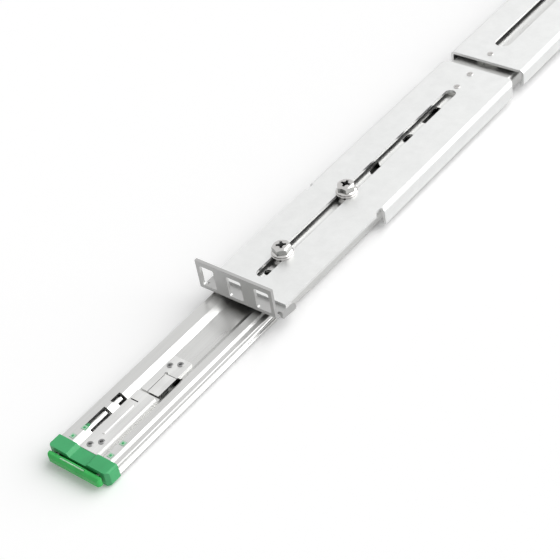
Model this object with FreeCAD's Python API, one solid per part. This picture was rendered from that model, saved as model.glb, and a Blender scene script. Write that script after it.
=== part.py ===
# Telescopic rail for a 19 inch rack: one of the two rails that carry a chassis.
#
# A three-member ball-bearing slide hangs under two slotted brackets. The front
# and the rear bracket each end in a flange with three square holes, and slide
# along the outer member on their screws until the flanges meet the rack posts.
#
# While it is being drawn, the rail has x = 0 at the middle hole of the flanges,
# y = 0 at the front flange's face, y running to the back of the rack, and z = 0
# at the face that the chassis is fastened to. Millimetres throughout.
import FreeCAD, Part
import math
import os

V = FreeCAD.Vector

# ---- rack face ---------------------------------------------------------------
HOLE_PITCH = 15.875          # rack hole pitch
HOLE_COUNT = 3
HOLE_WIDTH = 8.4
HOLE_HEIGHT = 11.4
HOLE_CORNER_R = 1.0
HOLE_ABOVE_FOOT = 3.9        # from the underside of the foot to the holes
FLANGE_WIDTH = 44.0
FLANGE_HEIGHT = 18.0         # from the underside of the foot to the top edge
FLANGE_SHEET = 1.5
FLANGE_BEND_R = 3.0          # outside radius
FOOT_LENGTH = 12.25          # full width part of the foot
TONGUE_LENGTH = 17.0         # narrower part that is welded under the channel
TONGUE_WIDTH = 34.0
EAR_START = 4.6              # where the down-turned ear begins, from the face
EAR_END = 14.0
EAR_DROP = 5.0               # how far it hangs below the foot
EAR_RELIEF = 1.5             # notch between the flange bend and the ear

# ---- slotted channels --------------------------------------------------------
CHANNEL_WIDTH = 44.4
CHANNEL_SHEET = 1.5
CHANNEL_BEND_R = 2.2         # outside radius
CHANNEL_DEPTH = 10.0
LIP_WIDTH = 2.2
PLATE_WIDTH = 42.5           # the flat front part, before the walls begin
PLATE_START = 8.3            # front edge, behind the flange face
WALL_START = 84.0
WALL_RELIEF_LENGTH = 5.0
WALL_RELIEF_DEPTH = 2.4
FRONT_CHANNEL_END = 201.2
CORNER_CUT = 3.0
SLOT_WIDTH = 6.2
SLOT_START = 17.7
SLOT_END = 179.6
REAR_CHANNEL_START = 209.2
REAR_CHANNEL_LIFT = 0.3      # the rear channel sits this much higher
REAR_CHANNEL_DEPTH = 9.3
REAR_SLOT_WIDTH = 9.1
REAR_SLOT_START = 224.0
REAR_SLOT_END = 404.0
REAR_FACE = 640.0            # rear flange face
REAR_WALL_END = 614.0

# ---- slide -------------------------------------------------------------------
SLIDE_X = -1.5               # centreline of the slide and its screws
SLIDE_HEIGHT = 9.5           # chassis face to the outer member's back
OUTER_SHEET = 1.2
OUTER_START = 13.5
OUTER_LENGTH = 566.5
OUTER_BOTTOM = 1.4
OUTER_BEND_R = 1.8
RACE_BACK = 0.55             # steel left behind the outer race
RACE_WEB = 0.9               # steel left between the two rows of balls

LEDGE_PLAY = 0.25            # ledges to the outer member
RECESS_DEPTH = 2.1
RECESS_FLOOR_HALF = 6.1
RECESS_TOP_HALF = 9.1
LEDGE_WIDTH = 4.0
RIM_STEP = 1.0
RIM_THICKNESS = 1.1
RIM_PLAY = 0.3
MIDDLE_SHEET = 1.2
MIDDLE_START = -99.6
MIDDLE_BOTTOM = 1.2
LOWER_RIM = 0.9

INNER_HALF = 12.3
INNER_WALL = 1.5
INNER_SHEET = 1.2
INNER_TOP = 5.7
INNER_BEND_R = 1.1
INNER_LENGTH = 549.3

# ---- balls and their retainers -----------------------------------------------
BALL_R = 1.25
BALL_PLAY = 0.05
RACE_Z = 4.0
STRIP_SHEET = 0.7
STRIP_PLAY = 0.2
STRIP_HEIGHT = 3.1
BALLS_PER_STRIP = 4
BALL_PITCH = 40.0
BALL_FLATS = 10              # round each ball, which is cut from flats to stay light
STRIP_END = 8.0              # from the last ball to the end of its strip
OUTER_STRIP_START = 150.0
INNER_STRIP_START = 100.0

# ---- travel ------------------------------------------------------------------
MIDDLE_IN = 112.0            # from rest back to closed
MIDDLE_OUT = 250.0           # from rest to fully out
INNER_OUT = 380.0

# ---- clamp screws ------------------------------------------------------------
SCREW_Y = 35.5
SCREW_PITCH = 50.8
REAR_SCREW_Y = 300.0
THREAD_R = 2.5
NUT_DISC_R = 4.0
NUT_BARREL_R = 3.6
NUT_BORE_PLAY = 0.02
NUT_LENGTH = 0.7             # below the outer member's web
WASHER_R = 5.4
WASHER_SHEET = 1.0
WASHER_PLAY = 0.15
COLLAR_R = 5.0
COLLAR_HEIGHT = 1.0
HEX_ACROSS = 8.0
HEX_HEIGHT = 3.4
HEX_CHAMFER = 0.5
RECESS_CROSS = 4.6
RECESS_BLADE = 1.0
RECESS_CROSS_DEPTH = 1.6

# ---- small rivets and glides -------------------------------------------------
GUIDE_RIVET_R = 1.0
GUIDE_HEAD_R = 1.7
GUIDE_HEAD_HEIGHT = 0.4
FRONT_GUIDE_Y = (183.2, 195.6)
REAR_GUIDE_Y = (215.6, 412.0)
GLIDE_WIDTH = 12.0
GLIDE_MARGIN = 3.0

# ---- windows in the outer member's web, from its front end -------------------
WEB_OVALS = ((10.7, 1.8, 2.2), (125.0, 3.6, 2.2))      # centre, half length, half width
WEB_ARROW = (92.5, 102.5)
WEB_ARROW_HALF = 2.8
WEB_ARROW_TAIL = 2.4
WEB_OBLONG = (139.2, 153.7)
WEB_OBLONG_WIDTH = 5.2

# ---- windows in the middle member, from its front end ------------------------
BAND_OUTER_U = (8.7, 10.8)   # outer leg of each hook-shaped window
BAND_INNER_U = (6.4, 7.6)
BAND_TOE_U = 5.9
FRONT_BAND = (9.2, 21.9)
REAR_BAND = (25.8, 31.7)
REAR_BAND_INNER = 26.9
BAND_WIDTH = 1.5
FLOOR_WINDOW = (38.8, 52.7)
FLOOR_WINDOW_U = (-1.3, 7.8)

# ---- plates on the recess floor ----------------------------------------------
PLATE_SHEET = 0.85
LOCK_PLATE = (0.3, 38.2)     # start and end, from the middle member's front end
LOCK_PLATE_U = (-5.9, 4.5)
LOCK_SLIT = 32.3
LOCK_SLIT_U = (-4.9, -0.6)
SLIT_WIDTH = 0.6
LOCK_RIB = (10.6, 30.1)
LOCK_RIB_U = -1.5
LOCK_RIB_WIDTH = 1.4
LOCK_RIB_HEIGHT = 0.4
LOCK_RIVETS = ((3.4, -2.2), (6.9, 1.3))                # along, across
LATCH_PLATE = (39.2, 62.1)
LATCH_PLATE_U = (-5.5, 5.1)
LATCH_SPLIT_U = -1.2
LATCH_ROOT = 51.6
LATCH_GAP = 0.3
LATCH_HOLE_R = 0.8
LATCH_RIVETS = ((56.3, -3.0), (59.0, 0.9))
LATCH_DROP = 5.0             # degrees that the leaf gives when it is pressed
HOOK_U = (3.0, 4.9)
HOOK_LENGTH = 1.6
HOOK_DROP = 2.7              # below the recess floor's top
PLATE_RIVET_R = 0.9
PLATE_HEAD_R = 1.5
PLATE_HEAD_HEIGHT = 0.45

# ---- green end cap on the middle member --------------------------------------
CAP_LENGTH = 6.9
CAP_HALF = 17.2
CAP_LIFT = 0.45              # above the ledges
CAP_BOTTOM = 0.9
CAP_MOUTH_PLAY = 0.4         # round the inner member
CAP_RECESS_HALF = 4.5
CAP_RECESS_TOP_HALF = 6.2
CAP_BRIDGE = 0.9
CAP_CHAMFER = 1.6
CAP_EDGE_R = 0.8
ARM_U = (9.8, 12.2)
ARM_SHEET = 0.8
ARM_LENGTH = 11.9
STUD_SIDE = 2.3
STUD_PLAY = 0.1
STUD_RISE = 0.1              # above the ledges
STUDS = ((-11.0, 2.4), (-9.8, 8.5), (11.0, 2.4), (11.0, 10.2))      # across, along

# ---- green bumper on the inner member ----------------------------------------
BUMPER_FRONT = -110.4
BUMPER_LENGTH = 2.9
BUMPER_HALF = 15.0
BUMPER_BOTTOM = 2.7
BUMPER_TOP = 7.0
BUMPER_SLOPE = 1.2
BUMPER_END_R = 2.0
BUMPER_GROOVE = (-8.2, 6.2)  # across, from the slide's centreline
BUMPER_GROOVE_WIDTH = 0.9
BUMPER_GROOVE_DEPTH = 0.5
TANG_HALF = 10.4
TANG_LENGTH = 12.0
TANG_HEIGHT = 3.0
PEG_R = 2.0
PEG_PLAY = 0.1

# ---- stops and chassis fixing ------------------------------------------------
STOP_LENGTH = 6.5
STOP_INSET = 1.1             # from the outer member's end to its stop
STOP_GAP = 0.4
STOP_HALF = 10.0
STOP_FLOOR_PLAY = 0.4
CATCH_LENGTH = 7.0
CATCH_HEIGHT = 2.7
CATCH_HALF = 2.6
CATCH_U = 3.9
CATCH_GAP = 0.6
CHASSIS_HOLE_R = 2.25
CHASSIS_HOLES = (40.0, 440.0)                          # from the inner member's front end

# ---- levels and half widths that follow --------------------------------------
WEB_TOP = SLIDE_HEIGHT
WEB_UNDER = WEB_TOP - OUTER_SHEET
FOOT_TOP = WEB_TOP + FLANGE_SHEET
PLATE_TOP = FOOT_TOP + CHANNEL_SHEET
CHANNEL_HALF = CHANNEL_WIDTH / 2
FLANGE_HALF = FLANGE_WIDTH / 2
STRIP_SPACE = STRIP_SHEET + 2 * STRIP_PLAY
RACE_R = BALL_R + BALL_PLAY
INNER_BALL_U = INNER_HALF + STRIP_SPACE / 2
MIDDLE_INSIDE = INNER_HALF + STRIP_SPACE
OUTER_BALL_U = INNER_BALL_U + 2 * RACE_R + RACE_WEB
MIDDLE_FACE = OUTER_BALL_U - STRIP_SPACE / 2
OUTER_INSIDE = OUTER_BALL_U + STRIP_SPACE / 2
OUTER_HALF = OUTER_BALL_U + RACE_R + RACE_BACK
RIM_HALF = OUTER_INSIDE - RIM_PLAY
LEDGE_TOP = WEB_UNDER - LEDGE_PLAY
FLOOR_TOP = LEDGE_TOP - RECESS_DEPTH
RIM_TOP = LEDGE_TOP - RIM_STEP
LEDGE_OUT = RECESS_TOP_HALF + LEDGE_WIDTH
LEDGE_UNDER = LEDGE_TOP - MIDDLE_SHEET
FLOOR_UNDER = FLOOR_TOP - MIDDLE_SHEET
OUTER_END = OUTER_START + OUTER_LENGTH
STOP_START = OUTER_END - STOP_INSET - STOP_LENGTH
MIDDLE_END = STOP_START - STOP_GAP - MIDDLE_IN
INNER_START = BUMPER_FRONT + BUMPER_LENGTH + 0.2
INNER_END = INNER_START + INNER_LENGTH
CAP_FRONT = MIDDLE_START - CAP_LENGTH


# ---- drawing helpers ---------------------------------------------------------
def across(y):
    """Maps (x, z) to a plane across the rail."""
    return lambda a, b: V(a, y, b)


def plan(z):
    """Maps (x, y) to a level plane."""
    return lambda a, b: V(a, b, z)


def upright(x):
    """Maps (y, z) to a plane along the rail."""
    return lambda a, b: V(x, a, b)


def corner(before, point, after, radius):
    """Start, middle and end of the arc that rounds one corner."""
    to_before = (before - point).normalize()
    to_after = (after - point).normalize()
    half_angle = to_before.getAngle(to_after) / 2
    reach = radius / math.tan(half_angle)
    inward = (to_before + to_after).normalize()
    centre = point + inward * (radius / math.sin(half_angle))
    return point + to_before * reach, centre - inward * radius, point + to_after * reach


def prism(corners, place, push):
    """Solid from a closed outline of (a, b, radius) corners, pushed along a vector."""
    points = [place(a, b) for a, b, radius in corners]
    count = len(points)
    arcs = []
    for index, (a, b, radius) in enumerate(corners):
        point = points[index]
        if radius > 0:
            arcs.append(corner(points[index - 1], point, points[(index + 1) % count], radius))
        else:
            arcs.append((point, None, point))
    edges = []
    for index, (start, middle, end) in enumerate(arcs):
        previous_end = arcs[index - 1][2]
        if previous_end.distanceToPoint(start) > 1e-6:
            edges.append(Part.LineSegment(previous_end, start).toShape())
        if middle is not None:
            edges.append(Part.Arc(start, middle, end).toShape())
    face = Part.Face(Part.Wire(Part.__sortEdges__(edges)))
    return face.extrude(push)


def mirrored(half, centre=0.0):
    """Full outline from the corners of its right half."""
    right = [(centre + u, z, radius) for u, z, radius in half]
    left = [(centre - u, z, radius) for u, z, radius in reversed(half)]
    return right + left


def along(corners, start, end):
    """Section pushed along the rail."""
    return prism(corners, across(start), V(0, end - start, 0))


def box(x, y, z):
    """Box between two values on each axis."""
    return Part.makeBox(x[1] - x[0], y[1] - y[0], z[1] - z[0], V(x[0], y[0], z[0]))


def upright_round(x, y, bottom, top, radius):
    """Upright cylinder."""
    return Part.makeCylinder(radius, top - bottom, V(x, y, bottom))


def slot_tool(x, start, end, width, bottom, top):
    """Round-ended slot along the rail, as a tool to cut with."""
    radius = width / 2 - 1e-3
    outline = [(x - width / 2, start, radius), (x + width / 2, start, radius),
               (x + width / 2, end, radius), (x - width / 2, end, radius)]
    return prism(outline, plan(bottom), V(0, 0, top - bottom))


def slide_box(u, y, bottom, top):
    """Box placed from the slide's centreline and the middle member's front end."""
    return box((SLIDE_X + u[0], SLIDE_X + u[1]), (MIDDLE_START + y[0], MIDDLE_START + y[1]), (bottom, top))


# ---- slotted brackets --------------------------------------------------------
def rack_flange():
    """Flange with its foot and ears, standing at y = 0 on the outer member's web."""
    under = WEB_TOP
    top = under + FLANGE_HEIGHT
    inner_r = FLANGE_BEND_R - FLANGE_SHEET
    side = [(0, top, 0), (0, under, FLANGE_BEND_R), (TONGUE_LENGTH, under, 0), (TONGUE_LENGTH, FOOT_TOP, 0),
            (FLANGE_SHEET, FOOT_TOP, inner_r), (FLANGE_SHEET, top, 0)]
    flange = prism(side, upright(-FLANGE_HALF), V(FLANGE_WIDTH, 0, 0))
    for sign in (-1, 1):
        edge = sign * FLANGE_HALF
        beside = sorted((edge + sign, sign * TONGUE_WIDTH / 2))
        flange = flange.cut(box(beside, (FOOT_LENGTH, TONGUE_LENGTH + 1), (under - 1, FOOT_TOP + 1)))
        inside = edge - sign * FLANGE_SHEET
        notch = sorted((edge + sign, inside - sign * 0.5))
        flange = flange.cut(box(notch, (EAR_START - EAR_RELIEF, EAR_START), (under - 1, FOOT_TOP + 1)))
        ear = prism([(EAR_START, FOOT_TOP, 0), (FOOT_LENGTH, FOOT_TOP, 0), (EAR_END, FOOT_TOP - 2.2, 1.0),
                     (EAR_END, under - EAR_DROP + 1.5, 1.2), (EAR_START, under - EAR_DROP + 2.6, 0.6)],
                    upright(min(edge, inside)), V(FLANGE_SHEET, 0, 0))
        flange = flange.fuse(ear)
    for index in range(HOLE_COUNT):
        middle = (index - (HOLE_COUNT - 1) / 2) * HOLE_PITCH
        low = under + HOLE_ABOVE_FOOT
        hole = [(middle - HOLE_WIDTH / 2, low, HOLE_CORNER_R), (middle + HOLE_WIDTH / 2, low, HOLE_CORNER_R),
                (middle + HOLE_WIDTH / 2, low + HOLE_HEIGHT, HOLE_CORNER_R),
                (middle - HOLE_WIDTH / 2, low + HOLE_HEIGHT, HOLE_CORNER_R)]
        flange = flange.cut(prism(hole, across(-1), V(0, FLANGE_SHEET + 2, 0)))
    return flange.removeSplitter()


def front_flange():
    return rack_flange()


def rear_flange():
    """The same pressing, turned round and lifted under the rear channel."""
    flange = rack_flange().mirror(V(0, 0, 0), V(0, 1, 0))
    flange.translate(V(0, REAR_FACE, REAR_CHANNEL_LIFT))
    return flange


def channel(top, depth, start, end):
    """Lipped channel, open downwards."""
    bottom = top - depth
    inner_r = CHANNEL_BEND_R - CHANNEL_SHEET
    inside = CHANNEL_HALF - CHANNEL_SHEET
    lip = CHANNEL_HALF - LIP_WIDTH
    half = [(inside, top - CHANNEL_SHEET, inner_r), (inside, bottom + CHANNEL_SHEET, inner_r / 2),
            (lip, bottom + CHANNEL_SHEET, 0), (lip, bottom, 0),
            (CHANNEL_HALF, bottom, CHANNEL_BEND_R * 0.8), (CHANNEL_HALF, top, CHANNEL_BEND_R)]
    return along(mirrored(half), start, end)


def flat_plate(top, start, end):
    """Flat stretch of a bracket, where it has no walls."""
    return box((-PLATE_WIDTH / 2, PLATE_WIDTH / 2), (start, end), (top - CHANNEL_SHEET, top))


def corner_cuts(end, top, bottom, sign):
    """Tools that take the two corners off one end of a channel, in plan."""
    tools = []
    for side in (-1, 1):
        edge = side * (CHANNEL_HALF + 1)
        reach = side * (CHANNEL_HALF - CORNER_CUT)
        triangle = [(edge, end - sign * (CORNER_CUT + 1), 0), (edge, end + sign, 0), (reach - side, end + sign, 0)]
        tools.append(prism(triangle, plan(bottom - 1), V(0, 0, top - bottom + 2)))
    return tools


def guide_holes(places, top):
    """Holes that the guide rivets pass through."""
    return [upright_round(SLIDE_X, y, top - CHANNEL_SHEET - 1, top + 1, GUIDE_RIVET_R) for y in places]


def front_channel():
    walls = channel(PLATE_TOP, CHANNEL_DEPTH, WALL_START, FRONT_CHANNEL_END)
    body = walls.fuse(flat_plate(PLATE_TOP, PLATE_START, WALL_START + 1))
    for side in (-1, 1):
        notch = sorted((side * (PLATE_WIDTH / 2 - WALL_RELIEF_DEPTH + 1), side * (CHANNEL_HALF + 1)))
        span = (WALL_START - WALL_RELIEF_LENGTH, WALL_START)
        body = body.cut(box(notch, span, (PLATE_TOP - CHANNEL_SHEET - 1, PLATE_TOP + 1)))
    body = body.cut(slot_tool(SLIDE_X, SLOT_START, SLOT_END, SLOT_WIDTH, FOOT_TOP - 1, PLATE_TOP + 1))
    for tool in corner_cuts(FRONT_CHANNEL_END, PLATE_TOP, PLATE_TOP - CHANNEL_DEPTH, 1):
        body = body.cut(tool)
    for tool in guide_holes(FRONT_GUIDE_Y, PLATE_TOP):
        body = body.cut(tool)
    return body.removeSplitter()


def rear_channel():
    top = PLATE_TOP + REAR_CHANNEL_LIFT
    walls = channel(top, REAR_CHANNEL_DEPTH, REAR_CHANNEL_START, REAR_WALL_END)
    body = walls.fuse(flat_plate(top, REAR_WALL_END - 1, REAR_FACE - PLATE_START))
    slot = slot_tool(SLIDE_X, REAR_SLOT_START, REAR_SLOT_END, REAR_SLOT_WIDTH, FOOT_TOP - 1, top + 1)
    body = body.cut(slot)
    for tool in guide_holes(REAR_GUIDE_Y, top):
        body = body.cut(tool)
    return body.removeSplitter()


def guide_rivets(places, top):
    """Flush rivets that hold the glide under a channel's plate."""
    solids = []
    for y in places:
        shank = upright_round(SLIDE_X, y, top - CHANNEL_SHEET - 0.6, top, GUIDE_RIVET_R)
        head = upright_round(SLIDE_X, y, top, top + GUIDE_HEAD_HEIGHT, GUIDE_HEAD_R)
        solids.append(shank.fuse(head).removeSplitter())
    return Part.makeCompound(solids)


def glide(places, top):
    """Plastic strips that keep a channel's plate off the outer member's web."""
    solids = []
    under = top - CHANNEL_SHEET
    for y in places:
        length = GUIDE_RIVET_R + GLIDE_MARGIN
        pad = box((SLIDE_X - GLIDE_WIDTH / 2, SLIDE_X + GLIDE_WIDTH / 2), (y - length, y + length), (WEB_TOP, under))
        solids.append(pad.cut(upright_round(SLIDE_X, y, under - 0.6, under + 1, GUIDE_RIVET_R)))
    return Part.makeCompound(solids)


# ---- clamp screws ------------------------------------------------------------
def screw_places(first):
    return (first, first + SCREW_PITCH)


def clinch_nuts(places, plate_under):
    """Nuts pressed into the web; their discs carry the channel's plate."""
    solids = []
    for y in places:
        disc = hexagon(SLIDE_X, y, WEB_TOP, plate_under - WEB_TOP, 2 * NUT_DISC_R)
        barrel = upright_round(SLIDE_X, y, WEB_UNDER - NUT_LENGTH, WEB_TOP, NUT_BARREL_R)
        nut = disc.fuse(barrel).removeSplitter()
        bore = upright_round(SLIDE_X, y, WEB_UNDER - NUT_LENGTH - 1, plate_under + 1, THREAD_R + NUT_BORE_PLAY)
        solids.append(nut.cut(bore))
    return Part.makeCompound(solids)


def washers(places, top):
    solids = []
    for y in places:
        ring = upright_round(SLIDE_X, y, top, top + WASHER_SHEET, WASHER_R)
        solids.append(ring.cut(upright_round(SLIDE_X, y, top - 1, top + 3, THREAD_R + WASHER_PLAY)))
    return Part.makeCompound(solids)


def hexagon(x, y, bottom, height, flats):
    """Hexagonal prism with that distance across its flats."""
    radius = flats / 2 / math.cos(math.pi / 6)
    turns = [math.radians(60 * step) for step in range(6)]
    outline = [(x + radius * math.cos(turn), y + radius * math.sin(turn), 0) for turn in turns]
    return prism(outline, plan(bottom), V(0, 0, height))


def clamp_screws(places, top):
    """Hexagon screws with a collar and a cross recess."""
    solids = []
    seat = top + WASHER_SHEET
    crown = seat + COLLAR_HEIGHT + HEX_HEIGHT
    for y in places:
        shank = upright_round(SLIDE_X, y, WEB_UNDER - NUT_LENGTH, seat, THREAD_R)
        collar = upright_round(SLIDE_X, y, seat, seat + COLLAR_HEIGHT, COLLAR_R)
        head = hexagon(SLIDE_X, y, seat + COLLAR_HEIGHT, HEX_HEIGHT, HEX_ACROSS)
        rim = [edge for edge in head.Edges if edge.BoundBox.ZMin > crown - 1e-3]
        screw = shank.fuse([collar, head.makeChamfer(HEX_CHAMFER, rim)])
        for blade in ((RECESS_CROSS, RECESS_BLADE), (RECESS_BLADE, RECESS_CROSS)):
            cross = box((SLIDE_X - blade[0] / 2, SLIDE_X + blade[0] / 2), (y - blade[1] / 2, y + blade[1] / 2),
                        (crown - RECESS_CROSS_DEPTH, crown + 1))
            screw = screw.cut(cross)
        solids.append(screw.removeSplitter())
    return Part.makeCompound(solids)


# ---- slide members -----------------------------------------------------------
def race_tool(u, start, end):
    """Groove for one row of balls, as a tool to cut with."""
    return Part.makeCylinder(RACE_R, end - start, V(SLIDE_X + u, start, RACE_Z), V(0, 1, 0))


def cut_races(body, ball_u, start, end):
    for side in (-1, 1):
        body = body.cut(race_tool(side * ball_u, start - 1, end + 1))
    return body


def web_window(corners):
    """Tool that pierces the outer member's web."""
    shifted = [(SLIDE_X + u, OUTER_START + y, radius) for u, y, radius in corners]
    return prism(shifted, plan(WEB_UNDER - 1), V(0, 0, OUTER_SHEET + 2))


def outer_member():
    half = [(OUTER_INSIDE, WEB_UNDER, OUTER_BEND_R - OUTER_SHEET), (OUTER_INSIDE, OUTER_BOTTOM, 0),
            (OUTER_HALF, OUTER_BOTTOM, RACE_BACK), (OUTER_HALF, WEB_TOP, OUTER_BEND_R)]
    body = along(mirrored(half, SLIDE_X), OUTER_START, OUTER_END)
    body = cut_races(body, OUTER_BALL_U, OUTER_START, OUTER_END)
    for y in screw_places(SCREW_Y) + screw_places(REAR_SCREW_Y):
        body = body.cut(upright_round(SLIDE_X, y, WEB_UNDER - 1, WEB_TOP + 1, NUT_BARREL_R))
    for centre, half_length, half_width in WEB_OVALS:
        radius = min(half_length, half_width) - 1e-3
        oval = [(-half_width, centre - half_length, radius), (half_width, centre - half_length, radius),
                (half_width, centre + half_length, radius), (-half_width, centre + half_length, radius)]
        body = body.cut(web_window(oval))
    start, end = WEB_ARROW
    arrow = [(-WEB_ARROW_HALF, start + WEB_ARROW_TAIL, 0), (0, start, 0), (WEB_ARROW_HALF, start + WEB_ARROW_TAIL, 0),
             (WEB_ARROW_HALF, end, 0), (0, end - WEB_ARROW_TAIL, 0), (-WEB_ARROW_HALF, end, 0)]
    body = body.cut(web_window(arrow))
    start, end = WEB_OBLONG
    oblong = [(-WEB_OBLONG_WIDTH / 2, start, 0.4), (WEB_OBLONG_WIDTH / 2, start, 0.4),
              (WEB_OBLONG_WIDTH / 2, end, 0.4), (-WEB_OBLONG_WIDTH / 2, end, 0.4)]
    body = body.cut(web_window(oblong))
    return body.removeSplitter()


def middle_section():
    """Drawn section: a sunk floor between two ledges, and a wall with a race on each face."""
    slope = math.atan2(RECESS_DEPTH, RECESS_TOP_HALF - RECESS_FLOOR_HALF)
    shift = MIDDLE_SHEET * math.tan(slope / 2)
    rim_under = RIM_TOP - RIM_THICKNESS
    rim_low = MIDDLE_BOTTOM + LOWER_RIM
    bevel = RIM_HALF - MIDDLE_FACE
    half = [(RECESS_FLOOR_HALF + shift, FLOOR_UNDER, 0.3), (RECESS_TOP_HALF + shift, LEDGE_UNDER, 0.3),
            (LEDGE_OUT - 0.6, LEDGE_UNDER, 0.2), (MIDDLE_INSIDE, rim_under, 0.2),
            (MIDDLE_INSIDE, MIDDLE_BOTTOM, 0), (RIM_HALF, MIDDLE_BOTTOM, 0.3), (RIM_HALF, rim_low, 0.2),
            (MIDDLE_FACE, rim_low + bevel / 2, 0), (MIDDLE_FACE, rim_under - bevel / 2, 0),
            (RIM_HALF, rim_under, 0.2), (RIM_HALF, RIM_TOP, 0.4), (LEDGE_OUT + 0.8, RIM_TOP, 0.3),
            (LEDGE_OUT, LEDGE_TOP, 0.3), (RECESS_TOP_HALF, LEDGE_TOP, 0.4), (RECESS_FLOOR_HALF, FLOOR_TOP, 0.4)]
    return mirrored(half, SLIDE_X)


def hook_window(band, inner_start):
    """Hook-shaped window round a tongue on the left slope."""
    low = FLOOR_UNDER - 1
    high = LEDGE_TOP + 1
    outer_leg = slide_box((-BAND_OUTER_U[1], -BAND_OUTER_U[0]), band, low, high)
    inner_leg = slide_box((-BAND_INNER_U[1], -BAND_INNER_U[0]), (inner_start, band[1]), low, high)
    bridge = slide_box((-BAND_OUTER_U[1], -BAND_TOE_U), (band[1] - BAND_WIDTH, band[1]), low, high)
    toe = slide_box((-BAND_INNER_U[1], -BAND_TOE_U), (inner_start - BAND_WIDTH, inner_start), low, high)
    return outer_leg.fuse([inner_leg, bridge, toe])


def stud_box(u, y, play, low, high):
    """One stud of the end cap, with play on each side."""
    half = STUD_SIDE / 2 + play
    return slide_box((u - half, u + half), (y - half, y + half), low, high)


def middle_member():
    body = along(middle_section(), MIDDLE_START, MIDDLE_END)
    body = cut_races(body, OUTER_BALL_U, MIDDLE_START, MIDDLE_END)
    body = cut_races(body, INNER_BALL_U, MIDDLE_START, MIDDLE_END)
    body = body.cut(hook_window(FRONT_BAND, FRONT_BAND[0] + BAND_WIDTH))
    body = body.cut(hook_window(REAR_BAND, REAR_BAND_INNER + BAND_WIDTH))
    body = body.cut(slide_box(FLOOR_WINDOW_U, FLOOR_WINDOW, FLOOR_UNDER - 1, LEDGE_TOP + 1))
    body = body.cut(lock_slit())
    for u, y in STUDS:
        body = body.cut(stud_box(u, y, STUD_PLAY, LEDGE_UNDER - 1, LEDGE_TOP + 1))
    for y, u in LOCK_RIVETS + LATCH_RIVETS:
        hole = upright_round(SLIDE_X + u, MIDDLE_START + y, FLOOR_UNDER - 1, FLOOR_TOP + 1, PLATE_RIVET_R)
        body = body.cut(hole)
    return body.removeSplitter()


def inner_member():
    half = [(INNER_HALF, 0, INNER_BEND_R), (INNER_HALF, INNER_TOP, 0.3),
            (INNER_HALF - INNER_WALL, INNER_TOP, 0.3), (INNER_HALF - INNER_WALL, INNER_SHEET, 0.3)]
    body = along(mirrored(half, SLIDE_X), INNER_START, INNER_END)
    body = cut_races(body, INNER_BALL_U, INNER_START, INNER_END)
    for y in CHASSIS_HOLES:
        body = body.cut(upright_round(SLIDE_X, INNER_START + y, -1, INNER_SHEET + 1, CHASSIS_HOLE_R))
    body = body.cut(upright_round(SLIDE_X, peg_place(), -1, INNER_SHEET + 1, PEG_R + PEG_PLAY))
    for y in catch_rivets():
        body = body.cut(upright_round(SLIDE_X + CATCH_U, y, -1, INNER_SHEET + 1, PLATE_RIVET_R))
    return body.removeSplitter()


# ---- balls -------------------------------------------------------------------
def ball_places(start):
    return [start + STRIP_END + BALL_PITCH * index for index in range(BALLS_PER_STRIP)]


def retainer(side, ball_u, start):
    """Strip that spaces one row of balls."""
    length = 2 * STRIP_END + BALL_PITCH * (BALLS_PER_STRIP - 1)
    middle = SLIDE_X + side * ball_u
    strip = box((middle - STRIP_SHEET / 2, middle + STRIP_SHEET / 2), (start, start + length),
                (RACE_Z - STRIP_HEIGHT / 2, RACE_Z + STRIP_HEIGHT / 2))
    for y in ball_places(start):
        strip = strip.cut(Part.makeCylinder(RACE_R, 2 * STRIP_SHEET, V(middle - STRIP_SHEET, y, RACE_Z), V(1, 0, 0)))
    return strip


def ball(centre):
    """Ball cut from flats: rings of corners between two poles on the axis across the race."""
    rings = BALL_FLATS // 2
    loops = []
    for ring in range(1, rings):
        polar = math.pi * ring / rings
        loop = []
        for step in range(BALL_FLATS):
            turn = 2 * math.pi * step / BALL_FLATS
            across_race = V(BALL_R * math.cos(polar), 0, 0)
            around = V(0, math.cos(turn), math.sin(turn)) * (BALL_R * math.sin(polar))
            loop.append(centre + across_race + around)
        loops.append(loop)
    faces = []
    for step in range(BALL_FLATS):
        after = (step + 1) % BALL_FLATS
        for pole, loop in ((V(BALL_R, 0, 0), loops[0]), (V(-BALL_R, 0, 0), loops[-1])):
            tip = [centre + pole, loop[step], loop[after], centre + pole]
            faces.append(Part.Face(Part.makePolygon(tip)))
        for upper, lower in zip(loops, loops[1:]):
            flat = [upper[step], upper[after], lower[after], lower[step], upper[step]]
            faces.append(Part.Face(Part.makePolygon(flat)))
    solid = Part.Solid(Part.Shell(faces))
    return solid if solid.Volume > 0 else solid.reversed()


def balls(side, ball_u, start):
    centre = SLIDE_X + side * ball_u
    return Part.makeCompound([ball(V(centre, y, RACE_Z)) for y in ball_places(start)])


# ---- latch plates ------------------------------------------------------------
def on_floor(corners):
    """Plate on the recess floor, placed from the middle member's front end."""
    shifted = [(SLIDE_X + u, MIDDLE_START + y, radius) for u, y, radius in corners]
    return prism(shifted, plan(FLOOR_TOP), V(0, 0, PLATE_SHEET))


def rivet_holes(body, places):
    for y, u in places:
        hole = upright_round(SLIDE_X + u, MIDDLE_START + y, FLOOR_TOP - 1, FLOOR_TOP + PLATE_SHEET + 1, PLATE_RIVET_R)
        body = body.cut(hole)
    return body


def plate_rivets(places):
    """Rivets through a plate and the recess floor."""
    solids = []
    top = FLOOR_TOP + PLATE_SHEET
    for y, u in places:
        x = SLIDE_X + u
        y = MIDDLE_START + y
        shank = upright_round(x, y, FLOOR_UNDER, top, PLATE_RIVET_R)
        head = upright_round(x, y, top, top + PLATE_HEAD_HEIGHT, PLATE_HEAD_R)
        solids.append(shank.fuse(head).removeSplitter())
    return Part.makeCompound(solids)


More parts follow.
